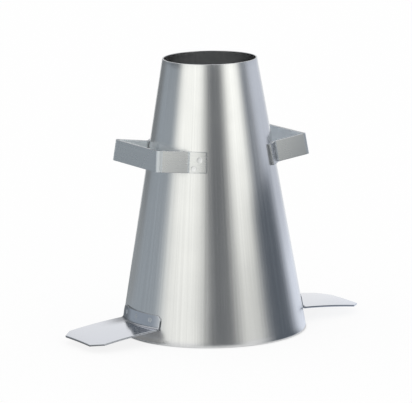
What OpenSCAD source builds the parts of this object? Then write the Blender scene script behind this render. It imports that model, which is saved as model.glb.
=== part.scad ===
// Slump cone: an open steel mould with two strap handles and two foot pieces.
// Millimetres, Z up. The base rim stands on z = 0, and the handles and feet lie along X.

/* [Cone] */
// Inside diameter at the top rim
top_bore = 100; // [80:1:140]
// Inside diameter at the base rim
base_bore = 200; // [170:1:240]
// Height from the base rim to the top rim
cone_h = 300; // [260:1:360]
// Sheet thickness of the cone, square to its surface
cone_wall = 1.6; // [1.2:0.1:4]

/* [Handles] */
// Height of the middle of the tabs above the base rim
handle_z = 196.5; // [150:0.5:230]
// Width of the strap
strap_w = 23; // [15:0.5:40]
// Thickness of the strap
strap_t = 3; // [1.5:0.1:5]
// Outer face of the grip from the cone wall, along the legs
grip_reach = 27.5; // [20:0.5:60]
// Bearing of the line where the strap leaves the wall, from the handle's middle, in degrees
fold_bearing = 39.5; // [30:0.5:50]
// Splay of each leg away from the handle's middle, in degrees
leg_splay = 5; // [0:0.5:15]
// Length of each tab round the wall
tab_len = 18; // [14:0.5:30]
// Inside radius of the two grip corners
grip_bend_r = 1.5; // [1:0.5:8]
// Inside radius where a leg turns onto its tab
tab_bend_r = 2; // [1:0.5:6]

/* [Feet] */
// Width of the foot
foot_w = 76; // [50:1:110]
// Outer end of the foot from the cone's axis
foot_reach = 173; // [150:1:220]
// Sheet thickness of the foot
foot_t = 2; // [1.2:0.1:4]
// Height of the tread's top face at its outer end
foot_end_z = 9; // [6:0.5:20]
// Fall of the tread towards its outer end, in degrees
foot_fall = 6.5; // [0:0.5:12]
// Legs of the cut outer corners
foot_chamfer = 12; // [3:0.5:20]
// Straight height of the upstand above its bend, along the wall
upstand_h = 12; // [9:0.5:30]
// Radius of the upstand's top corners
upstand_corner_r = 6; // [1:0.5:9]
// Inside radius of the bend between tread and upstand
foot_bend_r = 3; // [1:0.5:8]

/* [Spot welds] */
// Diameter of a weld
weld_d = 5; // [3:0.5:6]
// Depth of the dimple that a weld leaves in the face
weld_sink = 0.3; // [0.1:0.1:1]

/* [Hidden] */
$fn = 288;
// Overrun of every cut past the face that it starts from
overrun = 5;
// Sheet lost on each side of a bend, where it stretches, and the angle that a bend laps into the flats beside it
bend_thin = 0.05;
bend_lap = 4;
// Places of the welds on a tab: along it from the fold, and across the strap from its middle
tab_weld_shares = [[0.26, -0.3], [0.59, 0.11]];
// Places of the welds on an upstand, across the foot from its middle
foot_weld_shares = [-0.32, 0, 0.32];
satin_steel = [0.76, 0.77, 0.78];
strap_steel = [0.66, 0.67, 0.68];
weld_steel = [0.55, 0.55, 0.56];

// Cone: the wall leans inwards by the angle lean
lean = atan((base_bore - top_bore) / 2 / cone_h);
base_ir = base_bore / 2;
top_ir = top_bore / 2;
base_or = base_ir + cone_wall / cos(lean);
top_or = top_ir + cone_wall / cos(lean);

// Outer radius of the cone at a height
function wall_r(z) = base_or - z * tan(lean);

// Handle: both legs run outwards along one rising line, square to the fold lines on the wall
handle_r = wall_r(handle_z);
grip_rise = atan(tan(lean) * cos(fold_bearing));
leg_turn = atan(tan(fold_bearing) * cos(lean));
tab_angle = tab_len / handle_r * 180 / PI;
// Centre of the grip's bend from that of the tab's bend: outwards along the handle, and to its side
bend_drop = tab_bend_r + strap_t + grip_bend_r;
corner_out = grip_reach - grip_bend_r - strap_t - (strap_t + tab_bend_r) * cos(leg_turn)
    + handle_r * cos(grip_rise) * (1 - cos(fold_bearing));
leg_len = (corner_out - bend_drop * sin(leg_splay)) / cos(leg_splay);
corner_side = leg_len * sin(leg_splay) - bend_drop * cos(leg_splay);
// The same centre from the fold line: outwards from the wall, and round it
bend_out = strap_t + tab_bend_r + corner_out * cos(leg_turn) + corner_side * sin(leg_turn);
bend_round = corner_side * cos(leg_turn) - corner_out * sin(leg_turn);
// The same centre in the plane of the grip: across, up and outwards
grip_across = (handle_r + bend_out * cos(lean)) * sin(fold_bearing) + bend_round * cos(fold_bearing);
grip_up = handle_z * cos(grip_rise) - handle_r * cos(fold_bearing) * sin(grip_rise)
    + bend_out * cos(grip_rise) * sin(lean) * pow(sin(fold_bearing), 2)
    + bend_round * sin(fold_bearing) * sin(grip_rise);
grip_out = handle_r * cos(fold_bearing) * cos(grip_rise) + handle_z * sin(grip_rise)
    + (strap_t + tab_bend_r) * cos(leg_turn) + corner_out;
// The fold lines lean towards each other at the top, so the grip is a little narrower there
fold_in = strap_w / 2 * sin(lean) * sin(fold_bearing);
fold_up = sqrt(pow(strap_w / 2, 2) - pow(fold_in, 2));

// Foot: the bend's centre lies off the wall and above the tread by the bend's radius
wall_gap = base_or * cos(lean) + foot_t + foot_bend_r;
tread_gap = foot_reach * sin(foot_fall) + foot_end_z * cos(foot_fall) + foot_bend_r;
foot_bend_x = (wall_gap * cos(foot_fall) - tread_gap * sin(lean)) / cos(lean + foot_fall);
foot_bend_z = (tread_gap * cos(lean) - wall_gap * sin(foot_fall)) / cos(lean + foot_fall);
foot_bend_or = foot_bend_r + foot_t;
tread_len = (norm([foot_reach, foot_w / 2]) - foot_bend_x) / cos(foot_fall) + overrun;
upstand_z = foot_bend_z - foot_bend_or * sin(lean);
upstand_top = foot_bend_z + upstand_h * cos(lean) - foot_bend_r * sin(lean);
foot_weld_z = upstand_z + upstand_h / 2 * cos(lean);

// Places its children on the cone wall at a bearing and height: X off the wall, Z up along it
module on_wall(bearing, z, up = 0) {
    rotate([0, 0, bearing])
        translate([wall_r(z), 0, z])
            rotate([0, -lean, 0])
                translate([0, 0, up])
                    children();
}

// Section of a bend between two directions less than a half turn apart
module bend_section(inner_r, sheet, from, to) {
    outer_r = inner_r + sheet;
    a = 2 * outer_r * [cos(from - bend_lap), sin(from - bend_lap)];
    b = 2 * outer_r * [cos(to + bend_lap), sin(to + bend_lap)];
    intersection() {
        difference() {
            circle(r = outer_r - bend_thin);
            circle(r = inner_r + bend_thin);
        }
        polygon([[0, 0], a, a + b, b]);
    }
}

// The cone filled solid, as everything that sits on the wall meets it
module cone_solid() {
    cylinder(h = cone_h, r1 = base_or, r2 = top_or);
}

// One weld through a sheet on the wall, or the hole that it fills when top is past the sheet
module weld_post(top) {
    translate([-overrun, 0, 0])
        rotate([0, 90, 0])
            cylinder(d = weld_d, h = overrun + top);
}

// All welds of one handle, mirrored from tab to tab
module handle_weld_posts(top) {
    for (side = [0, 1])
        mirror([0, side, 0])
            for (place = tab_weld_shares)
                on_wall(fold_bearing + place[0] * tab_angle, handle_z, place[1] * strap_w)
                    weld_post(top);
}

// All welds of one foot
module foot_weld_posts(top) {
    for (share = foot_weld_shares)
        on_wall(asin(share * foot_w / wall_r(foot_weld_z)), foot_weld_z)
            weld_post(top);
}

// Tab on the wall
module handle_tab() {
    rotate([0, 0, fold_bearing])
        rotate_extrude(angle = tab_angle)
            translate([handle_r, handle_z])
                rotate(lean)
                    translate([0, -strap_w / 2])
                        square([strap_t, strap_w]);
}

// Flat leg between the two bends, square to the fold line
module handle_leg() {
    on_wall(fold_bearing, handle_z, -strap_w / 2)
        linear_extrude(height = strap_w)
            translate([strap_t + tab_bend_r, 0])
                rotate(leg_splay - leg_turn)
                    translate([0, -tab_bend_r - strap_t])
                        square([leg_len, strap_t]);
}

// Bends at the two ends of a leg
module handle_bends() {
    on_wall(fold_bearing, handle_z, bend_thin - strap_w / 2)
        linear_extrude(height = strap_w - 2 * bend_thin)
            translate([strap_t + tab_bend_r, 0]) {
                bend_section(tab_bend_r, strap_t, 180, 270 + leg_splay - leg_turn);
                rotate(-leg_turn)
                    translate([corner_out, corner_side])
                        bend_section(grip_bend_r, strap_t, 0, 90 + leg_splay);
            }
}

// Flat grip between the two legs
module handle_grip() {
    rotate([0, -grip_rise, 0])
        rotate([90, 0, 90])
            translate([0, grip_up, grip_out + grip_bend_r])
                linear_extrude(height = strap_t)
                    polygon([
                        [grip_across - fold_in, fold_up],
                        [fold_in - grip_across, fold_up],
                        [-grip_across - fold_in, -fold_up],
                        [grip_across + fold_in, -fold_up]
                    ]);
}

// Handle on the +X side
module handle() {
    difference() {
        union() {
            handle_grip();
            for (side = [0, 1])
                mirror([0, side, 0]) {
                    handle_tab();
                    handle_leg();
                    handle_bends();
                }
        }
        handle_weld_posts(strap_t + overrun);
    }
}

// Section of the foot through its middle: upstand, bend and tread
module foot_section() {
    translate([foot_bend_x, foot_bend_z]) {
        bend_section(foot_bend_r, foot_t, 180 + lean, 270 - foot_fall);
        rotate(lean)
            translate([-foot_bend_or, 0])
                square([foot_t, upstand_h]);
        rotate(-foot_fall)
            translate([0, -foot_bend_or])
                square([tread_len, foot_t]);
    }
}

// Outline of the foot from above, with its cut corners
module foot_plan() {
    half = foot_w / 2;
    polygon([
        [0, -half],
        [foot_reach - foot_chamfer, -half],
        [foot_reach, foot_chamfer - half],
        [foot_reach, half - foot_chamfer],
        [foot_reach - foot_chamfer, half],
        [0, half]
    ]);
}

// Outline of the foot from its outer end, with the upstand's round top corners
module foot_front() {
    half = foot_w / 2;
    inset = half - upstand_corner_r;
    translate([-half, -overrun])
        square([foot_w, upstand_top - upstand_corner_r + overrun]);
    translate([-inset, 0])
        square([2 * inset, upstand_top]);
    for (side = [-1, 1])
        translate([side * inset, upstand_top - upstand_corner_r])
            circle(r = upstand_corner_r);
}

// Foot on the +X side
module foot() {
    difference() {
        intersection() {
            rotate([0, 0, -90])
                rotate_extrude(angle = 180)
                    foot_section();
            translate([0, 0, -overrun])
                linear_extrude(height = upstand_top + 2 * overrun)
                    foot_plan();
            rotate([90, 0, 90])
                linear_extrude(height = foot_reach + overrun)
                    foot_front();
        }
        foot_weld_posts(foot_t + overrun);
    }
}

// Turns a piece of the +X side to the -X side
module to_left() {
    rotate([0, 0, 180])
        children();
}

module cone_shell() {
    color(satin_steel)
        rotate_extrude()
            polygon([[base_ir, 0], [base_or, 0], [top_or, cone_h], [top_ir, cone_h]]);
}

module right_handle() {
    color(strap_steel) handle();
}

module left_handle() {
    color(strap_steel) to_left() handle();
}

module right_foot() {
    color(satin_steel) foot();
}

module left_foot() {
    color(satin_steel) to_left() foot();
}

module right_handle_welds() {
    color(weld_steel)
        difference() {
            handle_weld_posts(strap_t - weld_sink);
            cone_solid();
        }
}

module left_handle_welds() {
    to_left() right_handle_welds();
}

module right_foot_welds() {
    color(weld_steel)
        difference() {
            foot_weld_posts(foot_t - weld_sink);
            cone_solid();
        }
}

module left_foot_welds() {
    to_left() right_foot_welds();
}

cone_shell();
left_handle();
right_handle();
left_foot();
right_foot();
left_handle_welds();
right_handle_welds();
left_foot_welds();
right_foot_welds();
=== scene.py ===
"""Looks of a steel slump cone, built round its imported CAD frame.

The mould is a rolled steel frustum with two bent strap handles and two pressed feet, all spot welded to
its wall. Everything is in metres with Z up, in the frame of the CAD part: the base rim stands on the
floor, and the handles and feet lie along X.
"""

import logging
import math
from dataclasses import dataclass, field
from enum import Enum
from typing import Sequence, Union

import bpy
import numpy as np
from mathutils import Matrix, Vector


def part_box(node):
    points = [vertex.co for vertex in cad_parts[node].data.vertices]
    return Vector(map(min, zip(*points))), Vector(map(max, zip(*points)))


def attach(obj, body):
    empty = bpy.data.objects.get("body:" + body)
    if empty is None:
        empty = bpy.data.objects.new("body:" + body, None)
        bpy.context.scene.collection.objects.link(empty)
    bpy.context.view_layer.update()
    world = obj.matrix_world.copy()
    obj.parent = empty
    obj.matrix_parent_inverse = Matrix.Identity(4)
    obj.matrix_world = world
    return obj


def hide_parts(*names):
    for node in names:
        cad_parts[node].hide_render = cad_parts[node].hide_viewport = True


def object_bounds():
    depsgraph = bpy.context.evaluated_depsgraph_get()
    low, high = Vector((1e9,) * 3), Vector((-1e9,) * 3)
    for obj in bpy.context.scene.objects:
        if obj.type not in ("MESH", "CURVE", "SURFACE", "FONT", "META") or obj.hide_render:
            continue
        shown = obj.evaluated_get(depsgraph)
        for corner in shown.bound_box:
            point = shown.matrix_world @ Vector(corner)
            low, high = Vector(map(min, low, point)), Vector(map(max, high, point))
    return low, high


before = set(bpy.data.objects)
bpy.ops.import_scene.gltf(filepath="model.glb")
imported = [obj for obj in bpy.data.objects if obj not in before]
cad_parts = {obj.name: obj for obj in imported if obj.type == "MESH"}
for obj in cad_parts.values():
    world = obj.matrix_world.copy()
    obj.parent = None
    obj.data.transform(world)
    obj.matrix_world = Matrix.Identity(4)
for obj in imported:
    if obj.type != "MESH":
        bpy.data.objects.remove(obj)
cad_low, cad_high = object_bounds()

log = logging.getLogger("slump_cone")

MM = 0.001
FULL_TURN = 2 * math.pi
FLIP_Y = np.array([1.0, -1.0, 1.0])
ONTO_XZ = np.array([1.0, 0.0, 1.0])
BODY = "root"
UV_NAME = "sheet"

# Values between which noise mostly stays, and how many finer layers it has for each use
NOISE_SPAN = (0.3, 0.7)
SMUDGE_LAYERS = 3.0
STREAK_LAYERS = 2.0
WAVE_LAYERS = 1.0

Colour = tuple[float, float, float]
Arrays = tuple[np.ndarray, ...]
Socket = bpy.types.NodeSocket
Value = Union[Socket, float, tuple[float, ...]]


class Side(Enum):
    """The two sides of the mould that carry a handle and a foot."""

    RIGHT = 1
    LEFT = -1

    def turn(self, points: np.ndarray) -> np.ndarray:
        """Turns points of the +X side to this side, by a half turn about Z where it is the left one."""
        return points * np.array([self.value, self.value, 1.0])


class Grain(Enum):
    """The way that the fine lines of a rolled or brushed sheet run, along the two texture axes."""

    ALONG_U = 0
    ALONG_V = 1


class Mark(Enum):
    """Marks that a finish shows, each held in the mesh attribute named by its value; some are painted
    light and shade.
    """

    HEAT = "heat"
    # Painted shade on edges, ends, bends, a line round each strap tab and one leg's outer face.
    CUT = "cut"
    # A duller finish whose colour is the cone seam's own tone, painted light on strap backs and bends, and
    # painted shade on feet.
    DULL = "dull"


class Ray(Enum):
    """Kinds of ray that see the floor, named as the Light Path output that tells them apart."""

    CAMERA = "Is Camera Ray"
    GLOSSY = "Is Glossy Ray"
    TRANSMISSION = "Is Transmission Ray"


def run_length(points: np.ndarray) -> np.ndarray:
    """Distance of each point along a line of points, from the first."""
    steps = np.linalg.norm(np.diff(points, axis=0), axis=1)
    return np.concatenate([[0.0], np.cumsum(steps)])


def closed(ring: np.ndarray) -> np.ndarray:
    """Adds the first point of a ring at its end."""
    return np.concatenate([ring, ring[:1]])


def grid(rows: np.ndarray, columns: np.ndarray) -> np.ndarray:
    """Pairs the value of each row with the value of each column."""
    return np.stack(np.broadcast_arrays(rows[:, None], columns[None, :]), -1)


def on_circle(angle: np.ndarray) -> np.ndarray:
    """Unit vectors in a plane at angles in radians."""
    return np.stack([np.cos(angle), np.sin(angle)], -1)


def between(start: np.ndarray, end: np.ndarray, shares: Sequence[float]) -> np.ndarray:
    """Points at shares of the way from one point to another."""
    return start + np.array(shares)[:, None] * (end - start)


def nearest(along: np.ndarray, across: np.ndarray, places: Sequence[tuple[float, float]]) -> np.ndarray:
    """Distance of each point of a face from the nearest of some places on it."""
    return np.min([np.hypot(along - a, across - b) for a, b in places], axis=0)


def new_mesh(name: str, points: np.ndarray, faces: list[list[int]]) -> bpy.types.Mesh:
    """Makes a mesh.

    Args:
        name: Name of the mesh.
        points: Its points, the last axis being x, y and z.
        faces: The indices of each face's corners.

    Returns:
        The new mesh.
    """
    mesh = bpy.data.meshes.new(name)
    mesh.from_pydata(points.reshape(-1, 3).tolist(), [], faces)
    return mesh


def write_floats(mesh: bpy.types.Mesh, name: str, values: np.ndarray) -> None:
    """Writes a value for each point of a mesh into an attribute."""
    attribute = mesh.attributes.new(name, "FLOAT", "POINT")
    attribute.data.foreach_set("value", values.astype(np.float32).ravel())


def new_object(name: str, data: bpy.types.ID) -> bpy.types.Object:
    """Makes an object and puts it into the scene.

    Args:
        name: Name of the object.
        data: Its mesh or its camera.

    Returns:
        The new object.
    """
    made = bpy.data.objects.new(name, data)
    bpy.context.scene.collection.objects.link(made)
    return made


class NodeGraph:
    """The nodes of a new material."""

    def __init__(self, name: str) -> None:
        """Makes the material without any node.

        Args:
            name: Name of the material.
        """
        self._material = bpy.data.materials.new(name)
        self._material.use_nodes = True
        self._tree = self._material.node_tree
        self._tree.nodes.clear()

    def add(self, kind: str, inputs: dict[Union[str, int], Value] | None = None,
            **settings: str) -> bpy.types.Node:
        """Adds a node.

        Args:
            kind: Type of the node, without its prefix.
            inputs: What its sockets get: the output of another node, a colour or a plain value.
            settings: Its own choices, such as its operation.

        Returns:
            The new node.
        """
        node = self._tree.nodes.new("ShaderNode" + kind)
        for name, choice in settings.items():
            setattr(node, name, choice)
        for name, value in (inputs or {}).items():
            socket = node.inputs[name]
            if isinstance(value, Socket):
                self._tree.links.new(value, socket)
            else:
                socket.default_value = (*value, 1.0) if socket.type == "RGBA" else value
        return node

    def attribute(self, name: str) -> Socket:
        """Reads an attribute of the mesh."""
        return self.add("Attribute", attribute_name=name).outputs["Fac"]

    def combine(self, operation: str, *values: Value) -> Socket:
        """Combines numbers by an operation of the Math node."""
        return self.add("Math", dict(enumerate(values)), operation=operation).outputs["Value"]

    def noise(self, vector: Socket, scale: float, layers: float) -> Socket:
        """Adds noise, spread to run from about 0 to 1.

        Args:
            vector: Coordinates of the noise.
            scale: Its cells per unit of these.
            layers: Number of finer layers.

        Returns:
            The noise.
        """
        noise = self.add("TexNoise", {"Vector": vector, "Scale": scale, "Detail": layers})
        low, high = NOISE_SPAN
        spread = self.add("MapRange", {"Value": noise.outputs["Fac"], "From Min": low, "From Max": high})
        return spread.outputs["Result"]

    def lay(self, under: Value, over: Colour, share: Socket) -> Socket:
        """Lays a share of a colour over another one."""
        layer = self.add("Mix", {"A": under, "B": over, "Factor": share}, data_type="RGBA")
        return layer.outputs["Result"]

    def cover(self, under: Socket, over: Socket, share: Socket) -> bpy.types.Material:
        """Covers a shader with a share of another one, and shows both as the material's surface."""
        both = self.add("MixShader", {"Fac": share, 1: under, 2: over})
        return self.show(both.outputs["Shader"])

    def show(self, surface: Socket) -> bpy.types.Material:
        """Shows a shader as the material's surface."""
        self.add("OutputMaterial", {"Surface": surface})
        return self._material


@dataclass(frozen=True)
class SteelFinish:
    """A bare steel finish with rolling streaks, smudges, faint waviness, weld tint, and painted light and
    shade.

    Attributes:
        name: Name of the material.
        colour: Linear reflectance of the clean metal.
        roughness: Mean roughness of the surface.
        smudge: Change of roughness from a wiped spot to a hazy one.
        grain: Axis that the streaks run along.
        streak: Share by which a streak is brighter or darker than the metal beside it.
        streak_haze: Change of roughness across the streaks, as a share of the smudges' change.
        streak_pitch: Mean distance between streaks.
        streak_length: Mean length of a streak.
        smudge_pitch: Mean size of a smudge.
        wave_pitch: Mean size of the sheet's waves.
        wave_height: Height of the sheet's waves.
        haze_and_painted_shade_colour: Linear reflectance of the painted shade of the cut mark, and of the
            haze in smudges.
        heat_colour: Linear reflectance where a weld has tinted the metal.
        dull: Roughness that is added where no hand rubs, as on backs and in bends.
        dull_and_painted_light_colour: Linear reflectance there: seam tone, painted light on strap backs,
            painted shade on feet.
    """

    name: str
    colour: Colour
    roughness: float
    smudge: float
    grain: Grain
    streak: float = 0.04
    streak_haze: float = 0.5
    streak_pitch: float = 2.2 * MM
    streak_length: float = 260 * MM
    smudge_pitch: float = 45 * MM
    wave_pitch: float = 45 * MM
    wave_height: float = 0.03 * MM
    haze_and_painted_shade_colour: Colour = (0.34, 0.36, 0.385)
    heat_colour: Colour = (0.42, 0.36, 0.30)
    dull: float = 0.0
    dull_and_painted_light_colour: Colour = (0.7, 0.7, 0.7)

    def build(self) -> bpy.types.Material:
        """Makes the material.

        Smudges and waves are wide noise on the object's own coordinates. Streaks are noise on the sheet's
        texture axes, stretched along one of them.

        Returns:
            The new material.
        """
        graph = NodeGraph(self.name)
        place = graph.add("TexCoord").outputs["Object"]
        smudges = graph.noise(place, 1 / self.smudge_pitch, SMUDGE_LAYERS)
        fine, long = 1 / self.streak_pitch, 1 / self.streak_length
        scale = (long, fine, 1.0) if self.grain is Grain.ALONG_U else (fine, long, 1.0)
        sheet = graph.add("UVMap", uv_map=UV_NAME).outputs["UV"]
        stretched = graph.add("Mapping", {"Vector": sheet, "Scale": scale}).outputs["Vector"]
        streaks = graph.noise(stretched, 1.0, STREAK_LAYERS)
        height = graph.noise(place, 1 / self.wave_pitch, WAVE_LAYERS)
        waves = graph.add("Bump", {"Distance": self.wave_height, "Height": height})
        shader = graph.add("BsdfPrincipled", {
            "Metallic": 1.0,
            "Base Color": self._colour(graph, smudges, streaks),
            "Roughness": self._roughness(graph, smudges, streaks),
            "Normal": waves.outputs["Normal"],
        })
        return graph.show(shader.outputs["BSDF"])

    def _colour(self, graph: NodeGraph, smudges: Socket, streaks: Socket) -> Socket:
        """Colours the metal: streaked, darker in smudges, with each mark's colour laid on: painted light
        and shade, and weld tint.

        Args:
            graph: Nodes of the material.
            smudges: Strength of the smudges.
            streaks: Strength of the streaks.

        Returns:
            The colour.
        """
        shares = (1 - self.streak, 1 + self.streak)
        dark, pale = (tuple(c * share for c in self.colour) for share in shares)
        colour = graph.lay(dark, pale, streaks)
        colour = graph.lay(colour, self.haze_and_painted_shade_colour, graph.combine("MULTIPLY", smudges, self.streak))
        # Painted light and shade: the dull mark's colour is paler on strap backs and darker on feet, the
        # cut mark darkens edges.
        laid = {Mark.DULL: self.dull_and_painted_light_colour, Mark.CUT: self.haze_and_painted_shade_colour, Mark.HEAT: self.heat_colour}
        for mark, above in laid.items():
            colour = graph.lay(colour, above, graph.attribute(mark.value))
        return colour

    def _roughness(self, graph: NodeGraph, smudges: Socket, streaks: Socket) -> Socket:
        """Adds up the roughness: an even range over the streaks, the smudges, and more where it is dull.

        Args:
            graph: Nodes of the material.
            smudges: Strength of the smudges.
            streaks: Strength of the streaks.

        Returns:
            The roughness.
        """
        low, high = (self.roughness - self.smudge * (1 + side * self.streak_haze) / 2 for side in (1, -1))
        fine = graph.add("MapRange", {"Value": streaks, "To Min": low, "To Max": high})
        hazy = graph.combine("MULTIPLY_ADD", smudges, self.smudge, fine.outputs["Result"])
        return graph.combine("MULTIPLY_ADD", graph.attribute(Mark.DULL.value), self.dull, hazy)


CONE_STEEL = SteelFinish(
    "cone_steel", (0.74, 0.745, 0.75), 0.22, 0.05, Grain.ALONG_V, streak=0.06, dull=0.1)
# Its dull colour is pale: painted light on the strap's back and bends.
STRAP_STEEL = SteelFinish(
    "strap_steel", (0.67, 0.68, 0.685), 0.28, 0.06, Grain.ALONG_U, streak=0.03, dull=0.4,
    dull_and_painted_light_colour=(0.90, 0.94, 0.97))
# Its dull colour is dark: painted shade in each foot's bend crease and at one tread root.
FOOT_STEEL = SteelFinish(
    "foot_steel", (0.63, 0.65, 0.70), 0.15, 0.05, Grain.ALONG_U, streak=0.02, dull=0.2,
    dull_and_painted_light_colour=(0.20, 0.21, 0.23))
WELD_STEEL = SteelFinish("weld_steel", (0.70, 0.71, 0.73), 0.26, 0.06, Grain.ALONG_U)


@dataclass
class Patch:
    """A closed surface on a grid: a ring of columns, carried along rows that are a ring or are capped.

    Attributes:
        points: Grid of points, rows by columns by 3. The columns close on themselves.
        uv: Texture coordinates in metres, with a column more than the points, and a row on a ring of rows.
        ring: True where the last row joins the first, and False where both ends are capped.
        marks: Strength of each mark at each point, from 0 to 1.
    """

    points: np.ndarray
    uv: np.ndarray
    ring: bool = False
    marks: dict[Mark, np.ndarray] = field(default_factory=dict)

    def quads(self) -> Arrays:
        """Works out the corners of all faces between the rows.

        Returns:
            The point index and the texture index of each face's four corners.
        """
        rows, columns = self.points.shape[:2]
        i = np.arange(rows if self.ring else rows - 1)[:, None]
        j = np.arange(columns)[None, :]
        here, above = i * columns, (i + 1) % rows * columns
        right = (j + 1) % columns
        corners = np.stack([here + j, here + right, above + right, above + j], -1)
        wide = columns + 1
        first = i * wide + j
        texture = np.stack([first, first + 1, first + wide + 1, first + wide], -1)
        return corners.reshape(-1, 4), texture.reshape(-1, 4)

    def caps(self) -> list[np.ndarray]:
        """Works out the two end faces.

        Returns:
            The point indices of both, or none on a ring.
        """
        rows, columns = self.points.shape[:2]
        first = np.arange(columns)
        return [] if self.ring else [first[::-1], (rows - 1) * columns + first]

    def is_inside_out(self) -> bool:
        """Tells whether the faces point inwards, by the sign of the volume that they enclose.

        Returns:
            True if the enclosed volume comes out negative.
        """
        flat = self.points.reshape(-1, 3)
        a, b, c, d = flat[self.quads()[0]].transpose(1, 0, 2)
        volume = np.einsum("ij,ij->", a, np.cross(b, c)) + np.einsum("ij,ij->", a, np.cross(c, d))
        for cap in self.caps():
            hub, rim = flat[cap[0]], flat[cap[1:]]
            volume += np.einsum("j,ij->", hub, np.cross(rim[:-1], rim[1:]))
        return bool(volume < 0)


class PieceMaker:
    """Puts grids of points into Blender meshes and ties the pieces to the frame."""

    def __init__(self, smooth_to: float = 35.0) -> None:
        """Sets the angle between two faces, in degrees, up to which their edge is shaded smooth."""
        self.smooth_to = math.radians(smooth_to)
        self._materials: dict[SteelFinish, bpy.types.Material] = {}

    def make(self, name: str, patches: Sequence[Patch], finish: SteelFinish, node: str) -> None:
        """Makes one piece of the object, which rides on the frame's body.

        Args:
            name: Name of the piece.
            patches: The closed surfaces that it is made of.
            finish: Its finish, which is made once for all pieces that have it.
            node: The CAD node that it stands for.
        """
        piece = new_object(name, self._mesh(name, patches))
        if finish not in self._materials:
            self._materials[finish] = finish.build()
        piece.data.materials.append(self._materials[finish])
        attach(piece, BODY)
        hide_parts(node)
        log.info("%s: %d points, %d faces", name, len(piece.data.vertices), len(piece.data.polygons))

    def _mesh(self, name: str, patches: Sequence[Patch]) -> bpy.types.Mesh:
        """Joins the patches into one mesh with outward faces, texture coordinates and marks.

        Args:
            name: Name of the mesh.
            patches: The closed surfaces.

        Returns:
            The new mesh.
        """
        faces, texture, start = [], [], 0
        for patch in patches:
            corners, uv_index = patch.quads()
            uv = patch.uv.reshape(-1, 2)
            caps = patch.caps()
            step = -1 if patch.is_inside_out() else 1
            faces += (corners[:, ::step] + start).tolist()
            faces += [(cap[::step] + start).tolist() for cap in caps]
            texture.append(uv[uv_index[:, ::step]].reshape(-1, 2))
            texture += [np.repeat(uv[:1], len(cap), 0) for cap in caps]
            start += patch.points.shape[0] * patch.points.shape[1]
        mesh = new_mesh(name, np.concatenate([p.points.reshape(-1, 3) for p in patches]), faces)
        layer = mesh.uv_layers.new(name=UV_NAME)
        layer.data.foreach_set("uv", np.concatenate(texture).astype(np.float32).ravel())
        for mark in Mark:
            shares = [p.marks.get(mark, np.zeros(p.points.shape[:2])).ravel() for p in patches]
            write_floats(mesh, mark.value, np.concatenate(shares))
        mesh.polygons.foreach_set("use_smooth", np.ones(len(mesh.polygons), bool))
        mesh.set_sharp_from_angle(angle=self.smooth_to)
        mesh.update()
        return mesh


@dataclass(frozen=True)
class Wall:
    """The mould's conical wall, which every other piece is placed on.

    Attributes:
        height: Height from rim to rim.
        top_bore: Inside diameter at the top rim.
        base_bore: Inside diameter at the base rim.
        sheet: Thickness of the sheet, square to its surface.
    """

    height: float
    top_bore: float = 100 * MM
    base_bore: float = 200 * MM
    sheet: float = 1.6 * MM

    @property
    def lean(self) -> float:
        """Lean of the wall from the upright, in radians."""
        return math.atan((self.base_bore - self.top_bore) / 2 / self.height)

    @property
    def base_radius(self) -> float:
        """Outer radius at the base rim."""
        return self.base_bore / 2 + self.sheet / math.cos(self.lean)

    def radius(self, z: float) -> float:
        """Outer radius at a height."""
        return self.base_radius - z * math.tan(self.lean)

    def axes(self, bearing: np.ndarray) -> Arrays:
        """Gives the directions up along the wall and off it.

        Args:
            bearing: Bearings round the wall from +X, in radians.

        Returns:
            Two arrays of unit vectors, one for each bearing.
        """
        c, s, one = np.cos(bearing), np.sin(bearing), np.ones_like(bearing)
        lean_c, lean_s = math.cos(self.lean), math.sin(self.lean)
        up = np.stack([-lean_s * c, -lean_s * s, lean_c * one], -1)
        off = np.stack([lean_c * c, lean_c * s, lean_s * one], -1)
        return up, off


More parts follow.
